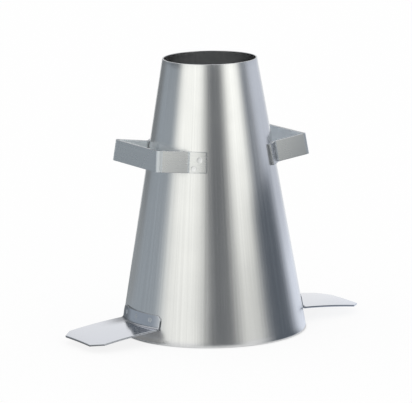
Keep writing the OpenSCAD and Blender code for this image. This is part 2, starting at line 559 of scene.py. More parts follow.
@dataclass(frozen=True)
class StripSection:
    """Section of flat strip with rounded edges, as a ring of columns.

    Attributes:
        thickness: Thickness of the strip.
        edge: Radius of its four edges.
        face_steps: Number of steps across the outer face.
        back_steps: Number of steps across the back face.
        corner_steps: Number of steps round each edge.
        end_steps: Number of rows that round an end of the strip.
        end_turn: Turn of the first of these rows, in degrees.
    """

    thickness: float
    edge: float
    face_steps: int
    back_steps: int = 12
    corner_steps: int = 4
    end_steps: int = 4
    end_turn: float = 15.0

    def columns(self) -> Arrays:
        """Gives each column's place on the inner rectangle and its outward direction in the section.

        The ring runs over the outer face, round the first side, over the back and round the second side.

        Returns:
            Shares across (-1 to 1) and through (0 to 1), and the directions across and through.
        """
        face = np.linspace(-1, 1, self.face_steps + 1)
        back = np.linspace(1, -1, self.back_steps + 1)
        turn = np.linspace(0, 90, self.corner_steps + 1)
        one, zero = np.ones(self.corner_steps), np.zeros(self.corner_steps)
        angle = np.radians(np.concatenate([
            np.full(face.size, 90.0), 90 - turn[1:], -turn[:-1],
            np.full(back.size, -90.0), -90 - turn[1:], -180 - turn[:-1],
        ]))
        across = np.concatenate([face, one, one, back, -one, -one])
        through = np.concatenate([np.ones(face.size), one, zero, np.zeros(back.size), zero, one])
        return across, through, np.cos(angle), np.sin(angle)

    def lay(self, half_width: np.ndarray, inset: np.ndarray) -> Arrays:
        """Works out each row's section: an inner rectangle, moved out by what is left of the edge radius.

        Args:
            half_width: Half of the strip's width at each row.
            inset: Distance that the section is drawn in at each row, which rounds the strip's ends.

        Returns:
            Place across the strip and through it, rows by columns.
        """
        across, through, out_across, out_through = self.columns()
        left = (self.edge - inset)[:, None]
        w = (half_width - self.edge)[:, None] * across + left * out_across
        t = self.edge + (self.thickness - 2 * self.edge) * through + left * out_through
        return w, t

    def on_face(self) -> np.ndarray:
        """Tells which columns lie on the outer face."""
        return np.arange(self.columns()[0].size) <= self.face_steps

    def backwards(self) -> np.ndarray:
        """Tells how far each column faces backwards, from 0 on the face and the sides to 1 on the back."""
        return np.clip(-self.columns()[3], 0, 1)

    def pressed(self, t: np.ndarray, depth: np.ndarray) -> np.ndarray:
        """Presses the outer face in by a depth at each point."""
        return t - np.where(self.on_face(), depth, 0)

    def cut(self, inset: np.ndarray, side_painted_shade: np.ndarray, end_painted_shade: np.ndarray) -> np.ndarray:
        """Tells how strongly each point shows painted shade on a side or end, by its turn away from the
        faces.

        Args:
            inset: Distance that the section is drawn in at each row.
            side_painted_shade: Strength of the painted shade on the sides at each row.
            end_painted_shade: Strength of the painted shade on the ends at each row.

        Returns:
            Strengths from 0 on the faces to the full painted shade on the sides and ends, rows by columns.
        """
        side = np.abs(self.columns()[2])
        end = np.sqrt(1 - (1 - inset / self.edge) ** 2)
        return np.maximum(side_painted_shade[:, None] * side, (end_painted_shade * end)[:, None])

    def end_rows(self) -> Arrays:
        """Gives the rows that round an end of the strip, along a quarter circle.

        Returns:
            Distance of each row from the end, and how far its section is drawn in, from the end inwards.
        """
        turn = np.radians(np.linspace(self.end_turn, 90, self.end_steps))
        return self.edge * (1 - np.cos(turn)), self.edge * (1 - np.sin(turn))

    def texture(self, w: np.ndarray, t: np.ndarray, along: np.ndarray) -> np.ndarray:
        """Gives texture coordinates in metres: along the strip, and round its section at its widest row.

        Args:
            w: Place across the strip.
            t: Place through the strip.
            along: Distance along the strip at each row.

        Returns:
            Texture coordinates with one column more than the strip has.
        """
        widest = np.ptp(w, axis=1).argmax()
        return grid(along, run_length(closed(np.stack([w[widest], t[widest]], -1))))


@dataclass(frozen=True)
class SpotWeld:
    """A spot weld: the electrode's shallow recess in the sheet, and the nugget at its bottom.

    Attributes:
        diameter: Diameter of the weld where the recess's floor begins.
        recess: Depth of the recess in the sheet.
        ramp: Width of the recess's sloping side.
        nugget_sink: Depth of the nugget's rim below the face.
        nugget_dish: How much deeper its middle is.
        play: Room left between nugget and sheet.
        heat: Strength of the tint round the weld.
        steps: Number of steps round the nugget.
        rings: Number of rings from its hub to its rim.
        hub: Radius of its innermost ring, as a share of its own.
    """

    diameter: float = 4.4 * MM
    recess: float = 0.6 * MM
    ramp: float = 0.7 * MM
    nugget_sink: float = 0.2 * MM
    nugget_dish: float = 0.1 * MM
    play: float = 0.02 * MM
    heat: float = 0.5
    steps: int = 40
    rings: int = 8
    hub: float = 0.08

    def sink(self, distance: np.ndarray) -> np.ndarray:
        """Depth of the recess: its full depth on its floor, falling evenly to nothing over its ramp."""
        return self.recess * np.clip((self.diameter / 2 + self.ramp - distance) / self.ramp, 0, 1)

    def tint(self, distance: np.ndarray) -> np.ndarray:
        """Weld tint: a bell curve of the distance from the weld, as wide as the weld and its ramp."""
        return self.heat * np.exp(-(distance / (self.diameter / 2 + self.ramp)) ** 2)

    def nugget(self) -> Arrays:
        """Works out the nugget: a dished disc whose side follows the recess, turned about its own axis.

        Returns:
            Places along, across and above the sheet's face, and the texture coordinates.
        """
        floor = self.recess - self.play
        rim, foot = (self.diameter / 2 + self.ramp * (1 - depth / self.recess) - self.play
                     for depth in (self.nugget_sink, floor))
        shares = np.linspace(self.hub, 1, self.rings)
        radius = np.concatenate([rim * shares, [foot, foot * self.hub]])
        dish = self.nugget_sink + self.nugget_dish * (1 - shares ** 2)
        level = np.concatenate([-dish, [-floor, -floor]])
        turn = np.linspace(0, FULL_TURN, self.steps, endpoint=False)
        u, v = radius[:, None] * np.cos(turn), radius[:, None] * np.sin(turn)
        around = np.linspace(0, FULL_TURN * rim, self.steps + 1)
        uv = grid(run_length(np.stack([radius, level], -1)), around)
        return u, v, np.broadcast_to(level[:, None], u.shape), uv


@dataclass
class ConeShell:
    """The mould's rolled sheet, open at both ends.

    Attributes:
        wall: The wall that it makes.
        rim_edge: Radius of the rims' edges, where the cut sheet was deburred.
        rim_painted_shade: How dark the cut rims are painted, from 0 to 1, as painted shade.
        seam_bearing: Bearing of the weld seam from +X, in degrees.
        seam: Half of the width of the seam, which is ground flush.
        seam_heat: Strength of the tint beside the seam.
        seam_spread: Width of that tint, in widths of the seam.
        turn_steps: Number of steps round the shell.
        wall_steps: Number of steps up the wall.
        edge_steps: Number of steps round each rim edge.
        finish: Finish of the sheet.
    """

    wall: Wall
    rim_edge: float = 0.35 * MM
    rim_painted_shade: float = 0.8
    seam_bearing: float = 90.0
    seam: float = 3 * MM
    seam_heat: float = 0.16
    seam_spread: float = 3.0
    turn_steps: int = 384
    wall_steps: int = 40
    edge_steps: int = 4
    finish: SteelFinish = CONE_STEEL

    def build(self, maker: PieceMaker) -> None:
        """Makes the shell and dresses it."""
        maker.make("cone", [self.patch()], self.finish, "cone_shell")

    def patch(self) -> Patch:
        """Turns the sheet's section about Z.

        The seam's marks on the outer face are bell curves of the distance round the wall.

        Returns:
            The closed shell.
        """
        section = self._section()
        turn = np.linspace(0, FULL_TURN, self.turn_steps, endpoint=False)[:, None]
        rho, z = section[None, :, 0], section[None, :, 1]
        points = np.stack(np.broadcast_arrays(rho * np.cos(turn), rho * np.sin(turn), z), -1)
        middle = (self.wall.base_radius + self.wall.radius(self.wall.height)) / 2
        around = np.linspace(0, FULL_TURN * middle, self.turn_steps + 1)
        off_seam = rho * (turn - math.radians(self.seam_bearing)) / self.seam
        outside = rho > self.wall.radius(z) - self.wall.sheet / 2
        half = self.wall.height / 2
        on_rim = np.clip((np.abs(points[..., 2] - half) - half) / self.rim_edge + 1, 0, 1)
        marks = {
            # Painted shade on the rims, dimming their highlight.
            Mark.CUT: self.rim_painted_shade * on_rim,
            Mark.DULL: outside * np.exp(-off_seam ** 2),
            Mark.HEAT: outside * self.seam_heat * np.exp(-(off_seam / self.seam_spread) ** 2),
        }
        return Patch(points, grid(around, run_length(closed(section))), ring=True, marks=marks)

    def _section(self) -> np.ndarray:
        """Works out the sheet's section as a ring: up the outer face, over the rim, down the inner face.

        It is a slanted strip with level ends. Each corner is an arc of the rim's edge radius, from the
        outward direction of the side before it to that of the side after it. The arc's centre lies inside
        both sides by that radius: against the sum of the two directions, over 1 plus their dot product.

        Returns:
            Radius and height of each point.
        """
        lean, height = self.wall.lean, self.wall.height
        level = np.array([self.wall.sheet / math.cos(lean), 0.0])
        base, top = np.array([[self.wall.base_radius, 0.0], [self.wall.radius(height), height]])
        corners = np.array([base, top, top - level, base - level])
        turn = np.array([-math.pi / 2, lean, math.pi / 2, math.pi + lean, 1.5 * math.pi])
        before, after = on_circle(turn[:-1]), on_circle(turn[1:])
        squareness = 1 + np.sum(before * after, axis=1, keepdims=True)
        centres = corners - self.rim_edge * (before + after) / squareness
        swing = turn[:-1, None] + np.diff(turn)[:, None] * np.linspace(0, 1, self.edge_steps + 1)
        arcs = centres[:, None] + self.rim_edge * on_circle(swing)
        shares = np.linspace(0, 1, self.wall_steps + 1)[1:-1]
        rise = between(arcs[0, -1], arcs[1, 0], shares)
        drop = between(arcs[2, -1], arcs[3, 0], shares)
        return np.concatenate([arcs[0], rise, arcs[1], arcs[2], drop, arcs[3]])


@dataclass
class StripPath:
    """The line that a strip follows, one row for each of its sections.

    Attributes:
        back: Middle of the strip's back face.
        across: Direction across the strip, of unit length where its edges run square to it.
        out: Direction from the back face to the outer face.
        arc: Distance round the wall from the fold line, which is negative off the tab.
        inset: Distance that the section is drawn in.
    """

    back: np.ndarray
    across: np.ndarray
    out: np.ndarray
    arc: np.ndarray
    inset: np.ndarray

    def mirrored(self) -> "StripPath":
        """Continues the path over the XZ plane, back to the other end, without its middle row twice.

        Returns:
            The whole path.
        """
        vectors = (self.back, self.across, self.out)
        values = (self.arc, self.inset)
        return StripPath(
            *(np.concatenate([rows, rows[-2::-1] * FLIP_Y]) for rows in vectors),
            *(np.concatenate([rows, rows[-2::-1]]) for rows in values),
        )

    def bent(self, least: float = 2.0) -> np.ndarray:
        """Tells which rows lie on a bend, where the outward direction turns.

        Args:
            least: Turn from a row to the next that counts as a bend, in degrees.

        Returns:
            True for each row on a bend.
        """
        cosine = np.einsum("ij,ij->i", self.out[1:], self.out[:-1])
        turns = cosine < math.cos(math.radians(least))
        return np.append(turns, False) | np.insert(turns, 0, False)


@dataclass
class Handle:
    """A strap handle: two tabs on the wall, two legs square to their fold lines, and a flat grip.

    Attributes:
        wall: The wall that it sits on.
        side: The side of the mould.
        tab_z: Height of the middle of the tabs.
        strap_w: Width of the strap.
        strap_t: Thickness of the strap.
        reach: Outer face of the grip from the wall, along the legs.
        fold_bearing: Bearing of the fold lines from the handle's middle, in degrees.
        leg_splay: Splay of the legs, in degrees.
        tab_len: Length of each tab round the wall.
        grip_bend: Inside radius of the grip's corners.
        tab_bend: Inside radius where a leg turns onto its tab.
        edge: Radius of the strap's edges.
        edge_painted_shade: How dark the strap's rolled edges are painted, from 0 to 1, as painted shade.
        end_painted_shade: How dark its sheared ends are painted, as painted shade.
        painted_tab_shadow: Width of the painted shadow line round a tab, which fades from its sheared end
            to its fold.
        bend_painted_shade: How dark the bends are painted, as painted shade.
        scale: How dark the outer face of one leg is painted, as a painted dark reflection.
        shaded_leg_facing: Least share of that leg's outward direction that points across the mould.
        weld: The welds on the tabs.
        weld_shares: Places of the welds on a tab: along it from the fold, and across it from its middle.
        face_steps: Number of steps across the strap.
        tab_steps: Number of rows along a tab.
        bend_steps: Number of steps round each bend.
        leg_rows: Places of the rows along a leg, which are close to both bends.
        grip_rows: Places of the rows along half of the grip.
        finish: Finish of the strap.
        weld_finish: Finish of the welds.
    """

    wall: Wall
    side: Side
    tab_z: float = 196.5 * MM
    strap_w: float = 23 * MM
    strap_t: float = 3 * MM
    reach: float = 27.5 * MM
    fold_bearing: float = 39.5
    leg_splay: float = 5.0
    tab_len: float = 18 * MM
    grip_bend: float = 1.5 * MM
    tab_bend: float = 2 * MM
    edge: float = 0.25 * MM
    edge_painted_shade: float = 0.9
    end_painted_shade: float = 0.8
    painted_tab_shadow: float = 1.4 * MM
    bend_painted_shade: float = 0.3
    scale: float = 0.5
    shaded_leg_facing: float = 0.7
    weld: SpotWeld = SpotWeld()
    weld_shares: tuple[tuple[float, float], ...] = ((0.26, -0.3), (0.59, 0.11))
    face_steps: int = 110
    tab_steps: int = 89
    bend_steps: int = 14
    leg_rows: tuple[float, ...] = (0.015, 0.25, 0.5, 0.75, 0.985)
    grip_rows: tuple[float, ...] = (0.01, 0.25, 0.5, 0.75, 1.0)
    finish: SteelFinish = STRAP_STEEL
    weld_finish: SteelFinish = WELD_STEEL

    @property
    def section(self) -> StripSection:
        """Section of the strap."""
        return StripSection(self.strap_t, self.edge, self.face_steps)

    def build(self, maker: PieceMaker) -> None:
        """Makes the strap and its welds and dresses them.

        Args:
            maker: Makes the pieces and ties them to the frame.
        """
        side = self.side.name.lower()
        maker.make(f"{side}_strap_handle", [self.patch()], self.finish, f"{side}_handle")
        maker.make(f"{side}_strap_welds", self.nuggets(), self.weld_finish, f"{side}_handle_welds")

    def patch(self) -> Patch:
        """Carries the strap's section along its path and presses the weld recesses into the tabs.

        A point is the path's point, plus its place across the strap times the across direction, plus its
        place through the strap times the outward direction.

        Returns:
            The closed strap.
        """
        path = self._half_path().mirrored()
        w, t = self.section.lay(np.full(path.inset.size, self.strap_w / 2), path.inset)
        uv = self.section.texture(w, t, run_length(path.back))
        gap = nearest(path.arc[:, None], w, self._weld_places())
        t = self.section.pressed(t, self.weld.sink(gap))
        across, out = w[..., None] * path.across[:, None], t[..., None] * path.out[:, None]
        marks = self._painted_light_marks(path, w)
        marks[Mark.HEAT] = self.weld.tint(gap)
        return Patch(self.side.turn(path.back[:, None] + across + out), uv, marks=marks)

    def nuggets(self) -> list[Patch]:
        """Makes the weld nuggets.

        Returns:
            A disc on each tab for each weld.
        """
        u, v, level, uv = self.weld.nugget()
        discs = []
        for along, across in self._weld_places():
            back, up, off = self._tab_rows(along + u)
            points = back + (across + v)[..., None] * up + (self.strap_t + level)[..., None] * off
            discs += [Patch(self.side.turn(points * flip), uv) for flip in (1.0, FLIP_Y)]
        return discs

    def _weld_places(self) -> list[tuple[float, float]]:
        """Places of the welds on a tab, round the wall from the fold line and across the strap."""
        return [(along * self.tab_len, across * self.strap_w) for along, across in self.weld_shares]

    def _painted_light_marks(self, path: StripPath, w: np.ndarray) -> dict[Mark, np.ndarray]:
        """Works out the strap's painted light and shade, and its duller parts.

        Painted shade darkens its edges, its ends, a shadow line round each tab, its bends and one leg's
        face.
        Its bends and back are duller, and painted paler as painted light.

        Args:
            path: The strap's line.
            w: Place across the strap, rows by columns.

        Returns:
            Strength of both marks.
        """
        rows = np.ones(path.inset.size)
        # Painted shade on the strap's edges and ends, dimming their highlights.
        cut = self.section.cut(path.inset, self.edge_painted_shade * rows, self.end_painted_shade * rows)
        along_tab = np.where(path.inset > 0, 0, np.clip(path.arc / self.tab_len, 0, 1))[:, None]
        from_rim = np.minimum(self.tab_len - path.arc[:, None], self.strap_w / 2 - np.abs(w))
        # Painted shadow line round each tab.
        painted_tab_shadow = along_tab * np.clip(1 - from_rim / self.painted_tab_shadow, 0, self.edge_painted_shade)
        bent = path.bent()[:, None]
        # Painted shade on the bends.
        bends = np.broadcast_to(self.bend_painted_shade * bent, w.shape)
        # Painted dark reflection on the outer face of one leg.
        on_leg = (path.arc < 0) & (path.out[:, 1] < -self.shaded_leg_facing)
        shaded_leg = self.scale * np.outer(on_leg, self.section.on_face())
        return {
            Mark.CUT: np.max([cut, painted_tab_shadow, bends, shaded_leg], axis=0),
            # Bends and back are rougher, and painted paler as painted light.
            Mark.DULL: np.maximum(bent, self.section.backwards()),
        }

    def _tab_rows(self, arc: np.ndarray) -> Arrays:
        """Gives the wall under a tab, at distances round it from the fold line.

        Args:
            arc: The distances.

        Returns:
            Points on the wall at the tab's height, and the directions up along the wall and off it.
        """
        radius = self.wall.radius(self.tab_z)
        bearing = math.radians(self.fold_bearing) + arc / radius
        x, y = radius * np.cos(bearing), radius * np.sin(bearing)
        return np.stack([x, y, np.full_like(bearing, self.tab_z)], -1), *self.wall.axes(bearing)

    def _half_path(self) -> StripPath:
        """Works out the strap's line from the end of the +Y tab to the middle of the grip.

        In the plane square to the fold line, the strap's back follows an arc about the tab bend's centre,
        a straight leg, and an arc about the grip bend's centre. The grip is ruled between its two ends.

        Returns:
            The path.
        """
        from_end, inset = self.section.end_rows()
        straight = np.linspace(self.tab_len - self.edge, 0, self.tab_steps + 1)[1:]
        arc = np.concatenate([self.tab_len - from_end, straight])
        tab_back, tab_up, tab_out = self._tab_rows(arc)

        flat, normal = self._leg_lines()
        fold_back, fold_up, fold_out = (rows[0] for rows in self._tab_rows(np.zeros(1)))
        around = np.cross(fold_up, fold_out)
        leg_back = fold_back + flat[:, :1] * fold_out + flat[:, 1:] * around
        leg_out = normal[:, :1] * fold_out + normal[:, 1:] * around
        leg_up = np.broadcast_to(fold_up, leg_back.shape)

        seams = (leg_back[-1], fold_up)
        grip_back, grip_up = (between(seam, seam * ONTO_XZ, self.grip_rows) for seam in seams)
        grip_out = np.broadcast_to(leg_out[-1], grip_back.shape)

        off_tab = -np.arange(1, len(leg_back) + len(grip_back) + 1) * self.strap_w
        return StripPath(
            np.concatenate([tab_back, leg_back, grip_back]),
            np.concatenate([tab_up, leg_up, grip_up]),
            np.concatenate([tab_out, leg_out, grip_out]),
            np.concatenate([arc, off_tab]),
            np.concatenate([inset, np.zeros(straight.size + off_tab.size)]),
        )

    def _leg_lines(self) -> Arrays:
        """Draws the strap's back from the fold line to the grip, in the plane square to the fold line.

        Returns:
            Places off the wall and round it, and the outward directions there.
        """
        fold, splay = math.radians(self.fold_bearing), math.radians(self.leg_splay)
        rise = math.atan(math.tan(self.wall.lean) * math.cos(fold))
        turn = math.atan(math.tan(fold) * math.cos(self.wall.lean))
        tab_r = self.strap_t + self.tab_bend
        drop = tab_r + self.grip_bend
        radius = self.wall.radius(self.tab_z)
        corner_out = (self.reach - self.grip_bend - self.strap_t - tab_r * math.cos(turn)
                      + radius * math.cos(rise) * (1 - math.cos(fold)))
        leg = (corner_out - drop * math.sin(splay)) / math.cos(splay)
        corner = np.array([corner_out, leg * math.sin(splay) - drop * math.cos(splay)])
        tilt = np.array([[math.cos(turn), -math.sin(turn)], [math.sin(turn), math.cos(turn)]])

        centre = np.array([tab_r, 0.0])
        inwards = on_circle(np.linspace(math.pi, 1.5 * math.pi + splay - turn, self.bend_steps + 1)[1:])
        tab_arc = centre + tab_r * inwards
        outwards = on_circle(np.linspace(math.pi / 2 + splay, 0, self.bend_steps + 1)) @ tilt
        grip_arc = centre + corner @ tilt + self.grip_bend * outwards
        straight = between(tab_arc[-1], grip_arc[0], self.leg_rows)
        leg_normal = np.broadcast_to(outwards[0], straight.shape)
        places = np.concatenate([tab_arc, straight, grip_arc])
        return places, np.concatenate([-inwards, leg_normal, outwards])


@dataclass
class Foot:
    """A pressed sheet foot: a curved upstand on the wall, a bend and a sloping tread with two cut corners.

    Attributes:
        wall: The wall that it sits on.
        side: The side of the mould.
        reach: Outer end of the foot from the mould's axis.
        painted_root_shade: How dark the painted shade is in one corner of the tread by the bend, from 0 to
            1.
        width: Width of the foot.
        sheet: Thickness of the sheet.
        end_z: Height of the tread's top face at its outer end.
        fall: Mean fall of the tread outwards, in degrees.
        root_fall: Fall of the tread where it leaves the bend, from which it bows down to its end.
        chamfer: Legs of the cut corners.
        upstand: Straight height of the upstand above its bend, along the wall.
        corner: Radius of the upstand's top corners.
        bend: Inside radius of the bend.
        edge: Radius of the sheet's edges.
        edge_painted_shade: How dark the tread's sheared edges are painted, as painted shade.
        top_painted_shade: How dark the upstand's dressed edges are painted, as painted shade.
        painted_root_shade_spread: How far the corner's painted shade reaches out from the bend and in from
            the tread's side.
        weld: The welds on the upstand.
        weld_shares: Places of the welds across the foot, from its middle.
        face_steps: Number of steps across the outer face.
        back_steps: Number of steps across the back face.
        chamfer_rows: Number of rows along the cut corners.
        tread_rows: Number of rows over most of the tread.
        tread_margins: Shares of the tread from each of its ends to the first row and to the second.
        bend_steps: Number of steps round the bend.
        upstand_rows: Number of rows up the upstand.
        finish: Finish of the sheet.
        weld_finish: Finish of the welds.
    """

    wall: Wall
    side: Side
    reach: float
    painted_root_shade: float = 0.0
    width: float = 76 * MM
    sheet: float = 2 * MM
    end_z: float = 9 * MM
    fall: float = 6.5
    root_fall: float = 3.5
    chamfer: float = 12 * MM
    upstand: float = 12 * MM
    corner: float = 6 * MM
    bend: float = 3 * MM
    edge: float = 0.35 * MM
    edge_painted_shade: float = 0.7
    top_painted_shade: float = 0.85
    painted_root_shade_spread: tuple[float, float] = (16 * MM, 28 * MM)
    weld: SpotWeld = SpotWeld(recess=0.25 * MM, nugget_sink=0.06 * MM, nugget_dish=0.02 * MM, heat=0.0)
    weld_shares: tuple[float, ...] = (-0.32, 0.0, 0.32)
    face_steps: int = 200
    back_steps: int = 60
    chamfer_rows: int = 12
    tread_rows: int = 14
    tread_margins: tuple[float, float] = (0.01, 0.06)
    bend_steps: int = 14
    upstand_rows: int = 44
    finish: SteelFinish = FOOT_STEEL
    weld_finish: SteelFinish = WELD_STEEL

    def __post_init__(self) -> None:
        """Works out the bend's centre, which is off the wall and above the tread by its radius."""
        lean, fall = self.wall.lean, math.radians(self.fall)
        off_wall = self.wall.base_radius * math.cos(lean) + self.sheet + self.bend
        off_tread = self.reach * math.sin(fall) + self.end_z * math.cos(fall) + self.bend
        self.bend_rho = (off_wall * math.cos(fall) - off_tread * math.sin(lean)) / math.cos(lean + fall)
        self.bend_z = (off_tread * math.cos(lean) - off_wall * math.sin(fall)) / math.cos(lean + fall)

    @property
    def section(self) -> StripSection:
        """Section of the sheet."""
        return StripSection(self.sheet, self.edge, self.face_steps, self.back_steps)

    def build(self, maker: PieceMaker) -> None:
        """Makes the foot and its welds and dresses them.

        Args:
            maker: Makes the pieces and ties them to the frame.
        """
        side = self.side.name.lower()
        maker.make(f"{side}_foot_piece", [self.patch()], self.finish, f"{side}_foot")
        maker.make(f"{side}_foot_piece_welds", self.nuggets(), self.weld_finish, f"{side}_foot_welds")

    def patch(self) -> Patch:
        """Carries the sheet's section from the tread's outer end over the bend to the upstand's top.

        Returns:
            The closed sheet.
        """
        stretches = [self._tread(), self._bend(), self._upstand()]
        points = np.concatenate(stretches)
        w, t = self.section.lay(np.full(1, self.width / 2), np.zeros(1))
        uv = self.section.texture(w, t, run_length(points[:, self.face_steps // 2]))
        marks = self._painted_light_marks(points, [len(rows) for rows in stretches])
        return Patch(self.side.turn(points), uv, marks=marks)

    def nuggets(self) -> list[Patch]:
        """Makes the weld nuggets.

        Returns:
            A disc for each weld.
        """
        u, v, level, uv = self.weld.nugget()
        discs = [self._upstand_points(up + v, y + u, self.sheet + level) for up, y in self._weld_places()]
        return [Patch(self.side.turn(points), uv) for points in discs]

    def _weld_places(self) -> list[tuple[float, float]]:
        """Places of the welds on the upstand's outer face, up from the bend and across the foot."""
        spread = self.width * (1 + self.sheet / self.wall.base_radius)
        return [(self.upstand / 2, share * spread) for share in self.weld_shares]

    def _painted_light_marks(self, points: np.ndarray, lengths: list[int]) -> dict[Mark, np.ndarray]:
        """Works out the painted shade: on the sheared edges, in the bend's crease, and in one corner of
        the tread.

        The crease fades up the bend. The corner's shade is a bell curve of the distance out from the bend,
        and falls evenly to nothing over the inner half of its reach from the tread's side.

        Args:
            points: Points of the foot on the +X side, rows by columns.
            lengths: Number of rows on the tread, the bend and the upstand.

        Returns:
            Strength of both marks.
        """
        drawn_in = self.section.end_rows()[1]
        inset = np.zeros(len(points))
        inset[:drawn_in.size] = drawn_in
        inset[-drawn_in.size:] = drawn_in[::-1]
        # Painted shade on the edges of the tread and bend, then of the upstand.
        row_painted_shade = np.repeat([self.edge_painted_shade, self.edge_painted_shade, self.top_painted_shade], lengths)
        tread, bend, upstand = lengths
        # Painted shade in the bend's crease, fading up the bend.
        crease = np.concatenate([np.zeros(tread), np.linspace(1, 0, bend), np.zeros(upstand)])
        # Painted shade in one corner of the tread, by the bend.
        from_bend = np.hypot(points[..., 0], points[..., 1]) - self.bend_rho
        from_side = points[..., 1] + self.width / 2
        outwards, inwards = self.painted_root_shade_spread
        near_side = np.clip(2 - 2 * from_side / inwards, 0, 1)
        painted_root_shade = self.painted_root_shade * np.exp(-(from_bend / outwards) ** 2) * near_side
        return {
            Mark.CUT: self.section.cut(inset, row_painted_shade, row_painted_shade),
            Mark.DULL: np.maximum(crease[:, None], painted_root_shade),
        }

    def _turned(self, rho: np.ndarray, z: np.ndarray, y: np.ndarray) -> np.ndarray:
        """Puts points of the section at a place across the foot, at the same distance from the axis."""
        return np.stack([np.sqrt(rho ** 2 - y ** 2), y, z], -1)

    def _tread(self) -> np.ndarray:
        """Works out the tread: straight rows along the cut corners, which then blend into an arc.

        Its top face is turned about the mould's axis. It leaves the bend at the root fall and follows a
        parabola of the distance from there down to the end's height, and the sheet lies square below it.

        Returns:
            Rows of points from the outer end inwards.
        """
        from_end, drawn_in = self.section.end_rows()
        cut = np.concatenate([from_end, np.linspace(self.edge, self.chamfer, self.chamfer_rows)[1:]])
        first, second = self.tread_margins
        blend = np.concatenate([[1 - first], np.linspace(1 - second, second, self.tread_rows), [first]])
        inset = np.concatenate([drawn_in, np.zeros(cut.size - drawn_in.size + blend.size)])
        half = np.full(inset.size, self.width / 2)
        half[:cut.size] -= self.chamfer - cut
        w, t = self.section.lay(half, inset)

        root = math.radians(self.root_fall)
        root_rho = self.bend_rho - self.bend * math.sin(root)
        root_z = self.bend_z - self.bend * math.cos(root)
        arc = np.sqrt(root_rho ** 2 - w[cut.size:] ** 2)
        line = self.reach - self.chamfer
        x = np.concatenate([
            np.broadcast_to((self.reach - cut)[:, None], w[:cut.size].shape),
            blend[:, None] * line + (1 - blend[:, None]) * arc,
        ])
        rho = np.hypot(x, w)
        length = self.reach - root_rho
        bow = (root_z - self.end_z - length * math.tan(root)) / length ** 2
        out = rho - root_rho
        z = root_z - out * math.tan(root) - bow * out ** 2
        fall = np.arctan(math.tan(root) + 2 * bow * out)
        depth = self.sheet - t
        return self._turned(rho - depth * np.sin(fall), z - depth * np.cos(fall), w)

    def _bend(self) -> np.ndarray:
        """Works out the bend: an arc in the section, turned about the mould's axis.

        Returns:
            Rows of points from the tread to the upstand.
        """
        start = 1.5 * math.pi - math.radians(self.root_fall)
        turn = np.linspace(start, math.pi + self.wall.lean, self.bend_steps + 1)[:, None]
        w, t = self.section.lay(np.full(turn.size, self.width / 2), np.zeros(turn.size))
        radius = self.bend + self.sheet - t
        return self._turned(self.bend_rho + radius * np.cos(turn), self.bend_z + radius * np.sin(turn), w)

    def _upstand(self) -> np.ndarray:
        """Works out the upstand, with its round top corners and its weld recesses.

        Returns:
            Rows of points from the bend upwards.
        """
        from_end, drawn_in = self.section.end_rows()
        straight = np.linspace(0, self.upstand - self.edge, self.upstand_rows)[1:-1]
        height = np.concatenate([straight, self.upstand - from_end[::-1]])
        inset = np.concatenate([np.zeros(straight.size), drawn_in[::-1]])
        over = np.clip((height - self.upstand) * math.cos(self.wall.lean) + self.corner, 0, self.corner)
        half = self.width / 2 - self.corner + np.sqrt(self.corner ** 2 - over ** 2)
        w, t = self.section.lay(half, inset)
        gap = nearest(height[:, None], w, self._weld_places())
        t = self.section.pressed(t, self.weld.sink(gap))
        return self._upstand_points(np.broadcast_to(height[:, None], w.shape), w, t)

    def _upstand_points(self, height: np.ndarray, y: np.ndarray, t: np.ndarray) -> np.ndarray:
        """Puts places on the upstand into the frame.

        Args:
            height: Distance up the wall from the bend.
            y: Place across the foot.
            t: Place through the sheet, from the wall outwards.

        Returns:
            The points.
        """
        lean = self.wall.lean
        inwards = -(self.bend + self.sheet - t)
        rho = self.bend_rho + inwards * math.cos(lean) - height * math.sin(lean)
        z = self.bend_z + inwards * math.sin(lean) + height * math.cos(lean)
        return self._turned(rho, z, y)


@dataclass(frozen=True)
class PhotoCamera:
    """The camera of the photograph: a long lens, a little above the object and turned to its left.

    Attributes:
        name: Name of the camera.
        bearing: Bearing of the camera from -Y towards +X, in degrees.
        elevation: Height of the camera above the horizon, in degrees.
        distance: Distance from the point that it looks at.
        aim: The point that it looks at.
        roll: Turn about its own axis, in degrees.
        lens: Focal length for the sensor's width, in millimetres.
        sensor: Width of the sensor, in millimetres.
        sight: Distance up to which it sees.
    """

    name: str = "photo_camera"
    bearing: float = -31.5
    elevation: float = 11.06
    distance: float = 3.6556
    aim: tuple[float, float, float] = (-5.57 * MM, 3.41 * MM, 140.82 * MM)
    roll: float = -0.93
    lens: float = 291.85
    sensor: float = 36.0
    sight: float = 100.0

    def build(self) -> None:
        """Makes the camera and gives it to the scene."""
        data = bpy.data.cameras.new(self.name)
        data.lens = self.lens
        data.sensor_width = self.sensor
        data.clip_end = self.sight
        camera = new_object(self.name, data)
        turn, tilt = math.radians(self.bearing), math.radians(self.elevation)
        level = math.cos(tilt)
        back = Vector((math.sin(turn) * level, -math.cos(turn) * level, math.sin(tilt)))
        rolled = Matrix.Rotation(math.radians(self.roll), 4, "Z")
        facing = (-back).to_track_quat("-Z", "Y").to_matrix().to_4x4()
        camera.matrix_world = Matrix.Translation(Vector(self.aim) + back * self.distance) @ facing @ rolled
        bpy.context.scene.camera = camera


